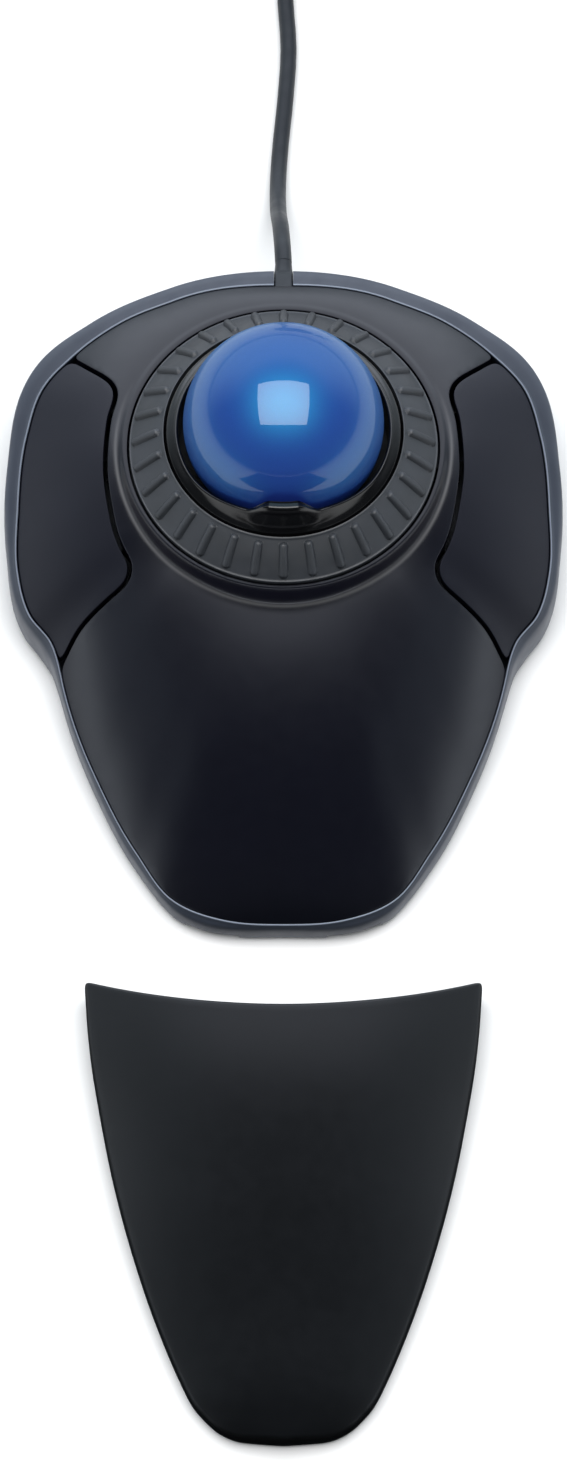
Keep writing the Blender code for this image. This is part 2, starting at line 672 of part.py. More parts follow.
def rest_block(inset, drop, bottom, back_shift=0.0):
    """A block under the rest's top face, lowered by drop, lofted about a point inside the outline."""
    outline = rest_outline(inset, back_shift)
    centre = Vector((0, REST_CENTRE_Y))
    loops = [[(x, y, bottom) for x, y in outline]]
    for share in (1, 0.9, 0.7, 0.45, 0.2):
        loop = []
        for x, y in outline:
            spot = centre + share * (Vector((x, y)) - centre)
            loop.append((spot.x, spot.y, rest_z(spot.x, spot.y) - drop))
        loops.append(loop)
    loops.append([(centre.x, centre.y, rest_z(*centre) - drop)])
    return loft(loops)


def rest_pad():
    """A thick rubber skin: solid in front, and hollow behind where it goes over the mouse's nose."""
    hollow = rest_block(REST_WALL, REST_WALL, 0, back_shift=12)
    hollow = boolean(hollow, "INTERSECT", block(-60, 60, REST_DOCK_Y, -80, -1, 30))
    tray = prism(rest_outline(REST_WALL), 0, REST_PLATE_TOP + GAP)
    tray = boolean(tray, "INTERSECT", block(-60, 60, -210, REST_DOCK_Y + 5, -1, 30))
    pad = boolean(rest_block(0, 0, HOUSING_BOTTOM), "DIFFERENCE", hollow)
    solid("rest_pad", boolean(pad, "DIFFERENCE", tray), "rest_rubber")


def rest_base():
    """The hard plate under the pad, with the two tongues that enter the housing's slots."""
    plate = prism(rest_outline(REST_WALL + SIDE_GAP), HOUSING_BOTTOM, REST_PLATE_TOP)
    plate = boolean(plate, "INTERSECT", block(-60, 60, -210, REST_DOCK_Y, 0, 10))
    x0, x1, end, z0, z1 = TONGUE
    tongues = [block(*sorted((s * x0, s * x1)), REST_DOCK_Y - 2, end, z0, z1) for s in (-1, 1)]
    plate = boolean(plate, "UNION", joined(tongues))
    recesses = joined([rod(x, y, 0, FOOT_TOP + GAP, REST_FOOT_R + 0.5) for x, y in REST_FEET])
    solid("rest_base", boolean(plate, "DIFFERENCE", recesses), "housing_plastic")


def route(points, spacing):
    """Points at an even spacing along a smooth curve through the route's own points."""
    spots = [Vector(p) for p in points]
    padded = [2 * spots[0] - spots[1], *spots, 2 * spots[-1] - spots[-2]]
    fine = []
    for p0, p1, p2, p3 in zip(padded, padded[1:], padded[2:], padded[3:]):
        for k in range(20):
            t = k / 20
            bend = (2 * p0 - 5 * p1 + 4 * p2 - p3) * t * t + (3 * p1 - p0 - 3 * p2 + p3) * t**3
            fine.append(p1 + ((p2 - p0) * t + bend) / 2)
    fine.append(spots[-1])
    lengths = [0.0]
    for a, b in zip(fine, fine[1:]):
        lengths.append(lengths[-1] + (b - a).length)
    count = round(lengths[-1] / spacing)
    even = []
    for k in range(count + 1):
        reach = lengths[-1] * k / count
        i = min(sum(1 for done in lengths[1:] if done < reach), len(fine) - 2)
        share = (reach - lengths[i]) / (lengths[i + 1] - lengths[i])
        even.append(fine[i].lerp(fine[i + 1], share))
    return even


def tube(name, points, r, finish):
    """A round cord as a curve with a bevel and filled caps."""
    spots = route(points, 4.4 * r)
    curve = bpy.data.curves.new(name, "CURVE")
    curve.dimensions = "3D"
    curve.bevel_depth = r * MM
    curve.bevel_resolution = 2
    curve.use_fill_caps = True
    curve.materials.append(paint(finish))
    spline = curve.splines.new("POLY")
    spline.points.add(len(spots) - 1)
    for knot, spot in zip(spline.points, spots):
        knot.co = (*(spot * MM), 1)
    obj = bpy.data.objects.new(name, curve)
    obj.location = (0, DATUM_Y * MM, 0)
    bpy.context.scene.collection.objects.link(obj)


def strain_relief():
    profile = [(0, 33.0), (3.2, 33.0), (3.2, 34.6), (1.95, 34.6), (1.95, 46.0), (0, 46.0)]
    relief = turned(profile, 20)
    relief.transform(Matrix.Translation((0, 0, CABLE_EXIT_Z)) @ Matrix.Rotation(math.radians(-90), 4, "X"))
    solid("cable_strain_relief", relief, "cable_rubber")


def cable_coil():
    (r0, r1), top, edge = COIL_R, COIL_TOP, 1.2
    profile = [
        (r0 + edge, 0), (r1 - edge, 0), (r1, edge), (r1, top - edge), (r1 - edge, top), (r0 + edge, top),
        (r0, top - edge), (r0, edge),
    ]
    x, y = COIL_XY
    solid("cable_coil", turned(profile, 40, ring=True, x=x, y=y), "cable_rubber")
    arch = [
        (12.1, 0.4), (12.1, 12.2), (29.3, 12.2), (29.3, 0.4), (28.4, 0.4), (28.4, 11.3), (13.0, 11.3),
        (13.0, 0.4),
    ]
    tie = loft([[(side, r, z) for r, z in arch] for side in (-4, 4)])
    tie.transform(Matrix.Translation((x, y, 0)) @ Matrix.Rotation(math.radians(-TIE_ANGLE), 4, "Z"))
    solid("coil_tie", tie, "foot_rubber")


def rounded(half_w, half_h, y, z, count=20):
    """A rectangle with very round corners, standing across the plug."""
    loop = []
    for k in range(count):
        a = 2 * math.pi * (k + 0.5) / count
        c, s = math.cos(a), math.sin(a)
        loop.append((PLUG_XY[0] + half_w * math.copysign(abs(c) ** 0.45, c), y,
                     z + half_h * math.copysign(abs(s) ** 0.45, s)))
    return loop


def usb_plug():
    x, back = PLUG_XY
    middle = PLUG_BOOT[3][2] / 2
    sections = [rounded(w / 2, h / 2, back - along, middle) for along, w, h in PLUG_BOOT]
    solid("usb_plug_boot", loft(sections), "cable_rubber")
    w, h, length = PLUG_SHELL
    start = back - PLUG_BOOT[-1][0] - GAP

    def frame(half_w, half_h, y):
        corners = ((-1, -1), (1, -1), (1, 1), (-1, 1))
        return [(x + half_w * i, y, middle + half_h * j) for i, j in corners]

    inner = (w / 2 - PLUG_SHELL_WALL, h / 2 - PLUG_SHELL_WALL)
    loops = [
        frame(w / 2, h / 2, start), frame(w / 2, h / 2, start - length),
        frame(*inner, start - length), frame(*inner, start),
    ]
    solid("usb_plug_shell", loft(loops, ring=True), "steel")
    low = middle - inner[1] + GAP
    insert = block(x - inner[0] + GAP, x + inner[0] - GAP, start - length + 0.6, start, low, low + 1.6)
    solid("usb_plug_insert", insert, "white_plastic")


def cable():
    strain_relief()
    tube("cable_lead", LEAD, 1.0, "cable_rubber")
    tube("cable_run", RUN, CABLE_R, "cable_rubber")
    tube("cable_tail", TAIL, CABLE_R, "cable_rubber")
    cable_coil()
    usb_plug()


def build():
    clear_scene()
    lower_housing()
    top_cover()
    for side, name in ((-1, "left"), (1, "right")):
        key(side, f"{name}_button")
        switch(side, name)
    ball()
    ball_bezel()
    ball_socket()
    ball_bearings()
    sensor_pieces()
    scroll_ring()
    encoder_wheel()
    electronics()
    fasteners()
    rubber_feet()
    rest_pad()
    rest_base()
    cable()


build()
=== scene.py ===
"""The looks of the trackball mouse: moulded shells, ball, ribbed ring, wrist rest, cable and materials.

Lengths here are millimetres measured from the ball's upright axis, +Y to the rear, as in the CAD model.
in_row() turns a point into the frame's metres. Angles about the ball run clockwise from the rear.
"""

import math

import bmesh
import bpy
import numpy as np
from mathutils import Matrix, Vector
from mathutils.geometry import delaunay_2d_cdt


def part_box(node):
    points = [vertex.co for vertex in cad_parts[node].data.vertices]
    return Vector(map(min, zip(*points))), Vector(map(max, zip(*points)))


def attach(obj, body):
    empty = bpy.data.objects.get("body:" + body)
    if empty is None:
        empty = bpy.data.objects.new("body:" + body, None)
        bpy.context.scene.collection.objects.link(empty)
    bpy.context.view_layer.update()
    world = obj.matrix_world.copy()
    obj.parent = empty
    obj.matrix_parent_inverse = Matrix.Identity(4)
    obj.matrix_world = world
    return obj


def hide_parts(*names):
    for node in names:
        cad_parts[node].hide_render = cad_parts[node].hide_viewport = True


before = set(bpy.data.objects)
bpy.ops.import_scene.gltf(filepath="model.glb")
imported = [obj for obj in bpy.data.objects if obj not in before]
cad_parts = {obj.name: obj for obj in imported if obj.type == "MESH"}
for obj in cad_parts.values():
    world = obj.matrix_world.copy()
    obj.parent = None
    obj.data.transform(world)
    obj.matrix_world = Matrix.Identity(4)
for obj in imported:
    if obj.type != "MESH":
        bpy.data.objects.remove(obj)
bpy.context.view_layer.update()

MM = 0.001
BALL_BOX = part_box("ball")
AXIS_Y = (BALL_BOX[0].y + BALL_BOX[1].y) / 2 / MM
BALL_R = (BALL_BOX[1].x - BALL_BOX[0].x) / 2 / MM
BALL_Z = BALL_BOX[1].z / MM - BALL_R

# Plan outlines, right half only, as (half width, y) from the rear to the front.
SHOULDER = [
    (0, 42.9), (23.0, 39.5), (39.7, 32.1), (49.6, 24.7), (53.9, 17.2), (56.3, 2.2), (56.3, -15.3),
    (54.9, -25.4), (52.9, -30.4), (49.3, -35.4), (46.4, -40.5), (43.4, -50.6), (37.7, -65.7),
    (29.9, -80.9), (22.9, -90.5), (19.8, -93.0), (13.4, -95.4), (0, -95.9),
]
SEAM = [
    (0, 38.3), (22.0, 35.2), (33.0, 30.7), (42.7, 23.8), (49.0, 16.9), (52.1, 7.2), (53.6, -7.7),
    (53.5, -20.7), (51.1, -29.6), (46.5, -35.7), (44.3, -43.2), (37.5, -63.3), (29.0, -79.7),
    (22.2, -89.2), (12.2, -93.6), (0, -94.6),
]
KEY_LINE = [
    (42.8, 22.9), (39.5, 19.7), (35.3, 15.8), (33.9, 13.0), (34.1, 10.3), (35.2, 5.8), (35.7, -4.8),
    (34.2, -15.0), (32.6, -20.2), (30.7, -23.9), (30.6, -26.1), (31.6, -28.4), (34.3, -30.3),
    (38.0, -32.8), (41.2, -35.5), (44.1, -39.9),
]
REST_SIDE = [
    (38.8, -107.8), (37.7, -120.7), (35.7, -132.7), (32.8, -146.9), (29.0, -161.0), (24.3, -175.0),
    (18.5, -188.7), (15.4, -193.4), (8.8, -198.0), (0, -198.8),
]

# The wrist rest. Its crest and its edge are heights against y.
REST_BACK_Y = -116.1
REST_CENTRE_Y = -150.0
REST_CREST = [(-198.8, 6.0), (-190, 8.5), (-175, 11.0), (-150, 15.5), (-130, 18.0), (-107, 18.0)]
REST_EDGE = [(-198.8, 4.5), (-150, 6.5), (-107, 9.0)]
REST_WALL = 2.2
REST_DOCK_Y = -137.0
REST_BOTTOM = 1.0
REST_RIM = 0.7
REST_PLATE_TOP = 3.6

# Values against the angle from the rear, for the housing's shoulder, the palm and the key ledge.
SHOULDER_SHARE = [(0, 0.92), (90, 0.88), (130, 0.62), (180, 0.62)]
PALM_START = [(0, 28.1), (85, 28.0), (140, 24.6), (180, 23.5)]
PALM_POWER = [(0, 2.0), (90, 1.6), (180, 2.15)]
LEDGE_DEPTH = [(0, 2.3), (50, 2.3), (75, 3.8), (135, 3.8), (150, 2.3), (180, 2.3)]
COLLAR_R = 31.4
COLLAR_FOOT_R = 33.5
COLLAR_Z = 28.2
# How far the collar has fallen to the palm, as (radius, share).
COLLAR_FALL = [
    (COLLAR_R, 0), (32.15, 0), (32.4, 0.1), (32.85, 0.6), (33.1, 0.85), (COLLAR_FOOT_R, 0.97),
    (34.0, 1), (36, 1),
]
SHELL = 2.0
SECTIONS = 480
COVER_RIM = 0.16
KEY_GAP = 0.8
KEY_RIM = 0.22

# Recesses in the housing's underside, and the cable's way out through its rear wall.
FOOT_RECESS_TOP = 1.6
SCREW_RECESS_TOP = 2.9
SCREW_RECESS_R = 3.3
TONGUE_SLOT_TOP = 2.9
TONGUE_SLOT_X = (8.7, 19.3)
TONGUE_SLOT_Y = (-100, -85)
GROOVE_Y = (30, 50)
GROOVE_R = 2.0
SLOT_HALF = 1.97
SLOT_HEIGHT = 12

RING_OUTER = (31.0, 28.2)
RING_INNER = (24.0, 34.5)
RING_BASE_Z = 26.6
RIBS = 32
RIB_HALF_WIDTH = 0.85
RIB_HEIGHT = 0.85

BEZEL_TOP_Z = 35.6
LOW_RISE = 3.0
HOOD_RISE = 4.2

CABLE_R = 1.75
CABLE_LIE_Z = 1.8
CABLE_EXIT_Z = 20.9
RUN = [
    (0, 46.8, CABLE_EXIT_Z), (-0.2, 51.2, 20.1), (-0.6, 58.5, 16.2), (-1.0, 65, 10.0), (-1.2, 72, 5.0),
    (-1.1, 79.5, 2.5), (-0.6, 88, 1.8), (0.4, 99.3, 1.8), (1.1, 112.1, 1.8), (0.4, 125, 1.8),
    (0.45, 133, 1.8),
]
BEND_R = 18.0
TURN_IN = 42.2
COIL_XY = (15.0, 168.0)
COIL_TURNS = 12
COIL_LAYERS = 4
COIL_PITCH = 3.56
COIL_OUTER_R = 26.1
TIE_ANGLE = 140.0
TAIL = [
    (30.0, 194.0, 10.6), (36.5, 193.0, 8.0), (43, 189.8, 5.4), (48.2, 185, 4.1), (51.6, 179.8, 3.9),
    (52.5, 175.3, 4.0),
]

CAMERA_AT = (0, -430.5, 815.7)
CAMERA_TILT = 25
CAMERA_LENS = 109.8


def in_row(point):
    return Vector((point[0] * MM, (point[1] + AXIS_Y) * MM, point[2] * MM))


# ---------------------------------------------------------------- curves and surfaces

def eased(knots, u):
    """A curve through (u, value) knots, level at each, so that it never overshoots one."""
    u = min(max(u, knots[0][0]), knots[-1][0])
    for (u0, v0), (u1, v1) in zip(knots, knots[1:]):
        if u <= u1:
            t = (u - u0) / (u1 - u0)
            return v0 + (v1 - v0) * t * t * (3 - 2 * t)
    return knots[-1][1]


def smooth(knots, u):
    """A cubic through (u, value) knots, its slope at a knot taken from that knot's neighbours."""
    u = min(max(u, knots[0][0]), knots[-1][0])
    k = max(i for i in range(len(knots) - 1) if knots[i][0] <= u or i == 0)

    def slope(i):
        (ua, va), (ub, vb) = knots[max(i - 1, 0)], knots[min(i + 1, len(knots) - 1)]
        return (vb - va) / (ub - ua)

    (u0, v0), (u1, v1) = knots[k], knots[k + 1]
    h = u1 - u0
    t = (u - u0) / h
    start = (2 * t**3 - 3 * t**2 + 1) * v0 + (t**3 - 2 * t**2 + t) * h * slope(k)
    return start + (3 * t**2 - 2 * t**3) * v1 + (t**3 - t**2) * h * slope(k + 1)


def polar_knots(outline):
    """(angle from the rear, radius) knots of a half outline, with a mirrored knot past each end."""
    knots = [(math.degrees(math.atan2(x, y)), math.hypot(x, y)) for x, y in outline]
    return [(-knots[1][0], knots[1][1]), *knots, (360 - knots[-2][0], knots[-2][1])]


def folded(angle):
    """The angle on the right half that mirrors this one."""
    return abs((angle + 180) % 360 - 180)


def angle_of(point):
    return math.degrees(math.atan2(point.x, point.y))


SHOULDER_KNOTS = polar_knots(SHOULDER)
SEAM_KNOTS = polar_knots(SEAM)


def shoulder_r(angle):
    return smooth(SHOULDER_KNOTS, folded(angle))


def seam_r(angle):
    return smooth(SEAM_KNOTS, folded(angle))


def seam_z(angle):
    y = seam_r(angle) * math.cos(math.radians(angle))
    return 8.575e-4 * y * y + 0.1998 * y + 17.17


def cover_z(angle, r):
    """Height of the cover's top face, with the collar left out."""
    side = folded(angle)
    rho = min(max((r - COLLAR_R) / (seam_r(angle) - COLLAR_R), 0), 1)
    low = seam_z(angle)
    return low + (eased(PALM_START, side) - low) * (1 - rho ** eased(PALM_POWER, side))


def cover_top(x, y):
    """Height of the cover's top face with its raised collar."""
    angle, r = math.degrees(math.atan2(x, y)), math.hypot(x, y)
    drop = COLLAR_Z - eased(PALM_START, folded(angle))
    return cover_z(angle, r) + drop * (1 - smooth(COLLAR_FALL, r))


def on_circle(angle, r):
    return r * math.sin(math.radians(angle)), r * math.cos(math.radians(angle))


def rest_width(y):
    return smooth([(-py, px) for px, py in REST_SIDE], -y)


def rest_z(x, y):
    across = min(abs(x) / max(rest_width(max(y, REST_SIDE[-1][1])), 0.1), 1)
    edge, crest = eased(REST_EDGE, y), smooth(REST_CREST, y)
    return edge + (crest - edge) * (1 - across**2.2)


def through(points, samples):
    """A smooth curve through points, with so many samples on each span."""
    spots = [Vector(p) for p in points]
    padded = [2 * spots[0] - spots[1], *spots, 2 * spots[-1] - spots[-2]]
    fine = []
    for p0, p1, p2, p3 in zip(padded, padded[1:], padded[2:], padded[3:]):
        for k in range(samples):
            t = k / samples
            bend = (2 * p0 - 5 * p1 + 4 * p2 - p3) * t * t + (3 * p1 - p0 - 3 * p2 + p3) * t**3
            fine.append(p1 + ((p2 - p0) * t + bend) / 2)
    fine.append(spots[-1])
    return fine


def evenly(points, spacing, closed=False):
    """The same line with points at an even spacing."""
    line = [Vector(p) for p in points] + ([Vector(points[0])] if closed else [])
    reach = [0.0]
    for a, b in zip(line, line[1:]):
        reach.append(reach[-1] + (b - a).length)
    count = max(round(reach[-1] / spacing), 2)
    stops = np.linspace(0, reach[-1], count + 1)
    axes = [np.interp(stops, reach, [p[i] for p in line]) for i in range(len(line[0]))]
    found = [Vector(p) for p in zip(*axes)]
    return found[:-1] if closed else found


def runs(line):
    """The direction of an open line at each of its points."""
    padded = [line[0], *line, line[-1]]
    return [(after - before).normalized() for before, after in zip(padded, padded[2:])]


# ---------------------------------------------------------------- meshes

def loft(loops, ring=False):
    """A closed skin through loops of points. One point is a pole, and a ring joins last to first."""
    mesh = bmesh.new()
    rows = [[mesh.verts.new(point) for point in loop] for loop in loops]
    pairs = list(zip(rows, rows[1:]))
    if ring:
        pairs.append((rows[-1], rows[0]))
    for low, high in pairs:
        count = max(len(low), len(high))
        for i in range(count):
            j = (i + 1) % count
            corners = [low[i % len(low)], low[j % len(low)], high[j % len(high)], high[i % len(high)]]
            mesh.faces.new(list(dict.fromkeys(corners)))
    for end in () if ring else (rows[0], rows[-1]):
        if len(end) > 2:
            mesh.faces.new(end)
    bmesh.ops.recalc_face_normals(mesh, faces=mesh.faces)
    return mesh


def around(sections, ring=False):
    """A skin through sections of (radius, height) points, which stand evenly round the ball's axis."""
    loops = []
    for row in zip(*sections):
        loops.append([(*on_circle(360 * k / len(row), r), z) for k, (r, z) in enumerate(row)])
    return loft(loops, ring)


def rod(x, y, z0, z1, r):
    circle = [on_circle(7.5 * k, r) for k in range(48)]
    return loft([[(x + px, y + py, z) for px, py in circle] for z in (z0, z1)])


def prism(points, z0, z1):
    return loft([[(x, y, z) for x, y in points] for z in (z0, z1)])


def block(x0, x1, y0, y1, z0, z1):
    return prism([(x0, y0), (x1, y0), (x1, y1), (x0, y1)], z0, z1)


def joined(meshes):
    total = bmesh.new()
    for mesh in meshes:
        data = bpy.data.meshes.new("joined")
        mesh.to_mesh(data)
        mesh.free()
        total.from_mesh(data)
        bpy.data.meshes.remove(data)
    return total


def boolean(body, operation, tool):
    """The body joined with, cut by or limited to the tool."""
    holders = []
    for mesh in (body, tool):
        data = bpy.data.meshes.new("holder")
        mesh.to_mesh(data)
        mesh.free()
        holders.append(bpy.data.objects.new("holder", data))
        bpy.context.scene.collection.objects.link(holders[-1])
    modifier = holders[0].modifiers.new("boolean", "BOOLEAN")
    modifier.operation = operation
    modifier.object = holders[1]
    graph = bpy.context.evaluated_depsgraph_get()
    result = bmesh.new()
    result.from_mesh(holders[0].evaluated_get(graph).to_mesh())
    for holder in holders:
        bpy.data.objects.remove(holder)
    bmesh.ops.remove_doubles(result, verts=result.verts, dist=0.001)
    return result


def piece(name, mesh, body, material, slot, *nodes, sharp=40):
    """A named object from a millimetre bmesh, riding on a body and standing for CAD nodes."""
    to_row = Matrix.Scale(MM, 4) @ Matrix.Translation((0, AXIS_Y, 0))
    bmesh.ops.transform(mesh, matrix=to_row, verts=mesh.verts)
    data = bpy.data.meshes.new(name)
    mesh.to_mesh(data)
    mesh.free()
    data.shade_smooth()
    data.set_sharp_from_angle(angle=math.radians(sharp))
    data.materials.append(material)
    obj = bpy.data.objects.new(name, data)
    bpy.context.scene.collection.objects.link(obj)
    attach(obj, body)
    if nodes:
        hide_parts(*nodes)
    return obj


def inside_of(loop, points):
    """Which points lie inside a closed loop, as an array of truths."""
    x, y = points[:, 0], points[:, 1]
    inside = np.zeros(len(points), bool)
    for a, b in zip(loop, loop[1:] + loop[:1]):
        if a[1] == b[1]:
            continue
        crosses = (a[1] > y) != (b[1] > y)
        inside ^= crosses & (x < (b[0] - a[0]) * (y - a[1]) / (b[1] - a[1]) + a[0])
    return inside


def inset(loop, distance):
    """The closed loop moved to its left, where its material is."""
    moved = []
    for i, point in enumerate(loop):
        run = (loop[(i + 1) % len(loop)] - loop[i - 1]).normalized()
        moved.append(point + distance * Vector((-run.y, run.x)))
    return moved


def moulded_plate(loops, top, candidates, thickness, rim, margin=0.55):
    """A thin moulded plate under a top surface. Its rims are rounded over. The first loop is the
    outline and the rest are holes, each with the material on its left."""
    mesh = bmesh.new()
    flat_points, edges, top_verts = [], [], []
    cores = []

    # The edge walls and their rounded rims.
    for loop in loops:
        rows = []
        low = [(p.x, p.y, top(p.x, p.y) - thickness) for p in loop]
        rows.append([mesh.verts.new(p) for p in low])
        for k in range(6):
            a = math.radians(90 * k / 5)
            ring = inset(loop, rim * (1 - math.cos(a)))
            drop = rim * (1 - math.sin(a))
            rows.append([mesh.verts.new((p.x, p.y, top(p.x, p.y) - drop)) for p in ring])
        for lower, upper in zip(rows, rows[1:]):
            for i in range(len(loop)):
                j = (i + 1) % len(loop)
                mesh.faces.new((lower[i], lower[j], upper[j], upper[i]))
        first = len(flat_points)
        flat_points += [Vector((p.x, p.y)) for p in ring]
        edges += [(first + i, first + (i + 1) % len(ring)) for i in range(len(ring))]
        top_verts += rows[-1]
        cores.append((ring, rows[0], loop))

    # The top's inner points, clear of the rims.
    spots = np.array([tuple(p) for p in candidates])
    keep = inside_of(cores[0][0], spots)
    for ring, _, _ in cores[1:]:
        keep &= ~inside_of(ring, spots)
    for ring, _, _ in cores:
        edge = np.array([tuple(p) for p in ring])
        gap = np.full(len(spots), np.inf)
        for start in range(0, len(edge), 64):
            part = edge[start:start + 64]
            gap = np.minimum(gap, np.hypot(*(spots[:, None] - part[None]).transpose(2, 0, 1)).min(1))
        keep &= gap > margin
    for x, y in spots[keep]:
        flat_points.append(Vector((x, y)))
        top_verts.append(mesh.verts.new((x, y, top(x, y))))

    # Triangles across the top, and the same ones underneath.
    found = delaunay_2d_cdt(flat_points, edges, [], 0, 1e-6)
    origin = [sources[0] for sources in found[3]]
    triangles = np.array([[origin[i] for i in face] for face in found[2]])
    flat = np.array([tuple(p) for p in flat_points])
    middle = flat[triangles].mean(1)
    keep = inside_of(cores[0][0], middle)
    for ring, _, _ in cores[1:]:
        keep &= ~inside_of(ring, middle)
    count = sum(len(ring) for ring, _, _ in cores)
    under = [v for _, row, _ in cores for v in row]
    for vert in top_verts[count:]:
        under.append(mesh.verts.new((vert.co.x, vert.co.y, vert.co.z - thickness)))
    for triangle in triangles[keep]:
        mesh.faces.new([top_verts[i] for i in triangle])
        mesh.faces.new([under[i] for i in reversed(triangle)])
    bmesh.ops.recalc_face_normals(mesh, faces=mesh.faces)
    return mesh


# ---------------------------------------------------------------- materials

def rgb(hexa):
    """Linear colour of an sRGB hex string."""
    parts = [int(hexa[i:i + 2], 16) / 255 for i in (0, 2, 4)]
    return tuple(c / 12.92 if c <= 0.04045 else ((c + 0.055) / 1.055) ** 2.4 for c in parts)


class Paint:
    """A Principled material with helpers for its node tree."""

    def __init__(self, name, colour, roughness, metallic=0.0, specular=0.5):
        self.material = bpy.data.materials.new(name)
        self.material.use_nodes = True
        self.tree = self.material.node_tree
        self.shader = self.tree.nodes["Principled BSDF"]
        self.set("Base Color", (*colour, 1))
        self.set("Roughness", roughness)
        self.set("Metallic", metallic)
        self.set("Specular IOR Level", specular)
        self.coords = self.tree.nodes.new("ShaderNodeTexCoord").outputs["Object"]

    def set(self, socket, value):
        self.shader.inputs[socket].default_value = value

    def link(self, source, target):
        self.tree.links.new(source, target)

    def noise(self, size_mm, detail=3.0):
        node = self.tree.nodes.new("ShaderNodeTexNoise")
        node.inputs["Scale"].default_value = 1 / (size_mm * MM)
        node.inputs["Detail"].default_value = detail
        self.link(self.coords, node.inputs["Vector"])
        return node.outputs["Fac"]

    def cells(self, size_mm):
        node = self.tree.nodes.new("ShaderNodeTexVoronoi")
        node.inputs["Scale"].default_value = 1 / (size_mm * MM)
        self.link(self.coords, node.inputs["Vector"])
        return node.outputs

    def ramp(self, source, low, high, start=0.35, end=0.65):
        """Maps a 0 to 1 source to colours or numbers between two ends."""
        node = self.tree.nodes.new("ShaderNodeMapRange")
        node.inputs["From Min"].default_value = start
        node.inputs["From Max"].default_value = end
        node.inputs["To Min"].default_value = low
        node.inputs["To Max"].default_value = high
        self.link(source, node.inputs["Value"])
        return node.outputs["Result"]

    def mix(self, factor, first, second):
        node = self.tree.nodes.new("ShaderNodeMix")
        node.data_type = "RGBA"
        node.inputs[6].default_value = (*first, 1)
        node.inputs[7].default_value = (*second, 1)
        self.link(factor, node.inputs[0])
        return node.outputs[2]

    def bump(self, height, depth_mm, strength=1.0):
        node = self.tree.nodes.new("ShaderNodeBump")
        node.inputs["Strength"].default_value = strength
        node.inputs["Distance"].default_value = depth_mm * MM
        self.link(height, node.inputs["Height"])
        previous = self.shader.inputs["Normal"]
        if previous.is_linked:
            self.link(previous.links[0].from_socket, node.inputs["Normal"])
        self.link(node.outputs["Normal"], self.shader.inputs["Normal"])


def moulded(name, dark, light, roughness, grain_mm, grain_depth, specular=0.5, spread=0.05):
    """Moulded plastic or rubber: fine grain, slight mottling and an uneven gloss."""
    paint = Paint(name, dark, roughness, specular=specular)
    paint.link(paint.mix(paint.ramp(paint.noise(9.0), 0, 1), dark, light), paint.shader.inputs["Base Color"])
    gloss = paint.ramp(paint.noise(3.0, 4.0), roughness - spread, roughness + spread)
    paint.link(gloss, paint.shader.inputs["Roughness"])
    paint.bump(paint.noise(grain_mm, 2.0), grain_depth, 0.6)
    return paint


def with_painted_highlight(paint, highlight_colour):
    """The material with a painted highlight: a paler colour where the mesh's rim attribute is set."""
    rim = paint.tree.nodes.new("ShaderNodeAttribute")
    rim.attribute_name = "rim"
    node = paint.tree.nodes.new("ShaderNodeMix")
    node.data_type = "RGBA"
    colour = paint.shader.inputs["Base Color"]
    paint.link(rim.outputs["Fac"], node.inputs[0])
    paint.link(colour.links[0].from_socket, node.inputs[6])
    node.inputs[7].default_value = (*highlight_colour, 1)
    paint.link(node.outputs[2], colour)
    return paint.material


def mark_painted_highlight(obj, share):
    """Sets the rim attribute, the mask of the painted highlight, with a share from 0 to 1 for a vertex's
    angle, radius and height.
    """
    rim = obj.data.attributes.new("rim", "FLOAT", "POINT")
    for vert, mark in zip(obj.data.vertices, rim.data):
        spot = Vector((vert.co.x / MM, vert.co.y / MM - AXIS_Y))
        mark.value = share(angle_of(spot), spot.length, vert.co.z / MM)


def ball_material():
    """Pearl blue resin: a fine metallic base under a clear polished coat."""
    paint = Paint("pearl_blue", (0.017, 0.031, 0.28), 0.46, metallic=0.2)
    flakes = paint.ramp(paint.cells(0.12)["Color"], 0, 1, 0.2, 0.8)
    blues = paint.mix(flakes, (0.016, 0.029, 0.26), (0.018, 0.033, 0.30))
    paint.link(blues, paint.shader.inputs["Base Color"])
    paint.link(paint.ramp(paint.noise(0.6), 0.46, 0.50), paint.shader.inputs["Roughness"])
    paint.set("IOR", 2.0)
    paint.set("Specular Tint", (0.02, 1, 0.88, 1))
    paint.set("Coat Weight", 0.23)
    paint.set("Coat Roughness", 0.02)
    paint.set("Coat IOR", 2.4)
    return paint.material


def metal(name, colour, roughness):
    paint = Paint(name, colour, roughness, metallic=1.0)
    gloss = paint.ramp(paint.noise(0.4, 5.0), roughness - 0.06, roughness + 0.08)
    paint.link(gloss, paint.shader.inputs["Roughness"])
    paint.bump(paint.noise(0.15), 0.004, 0.4)
    return paint.material


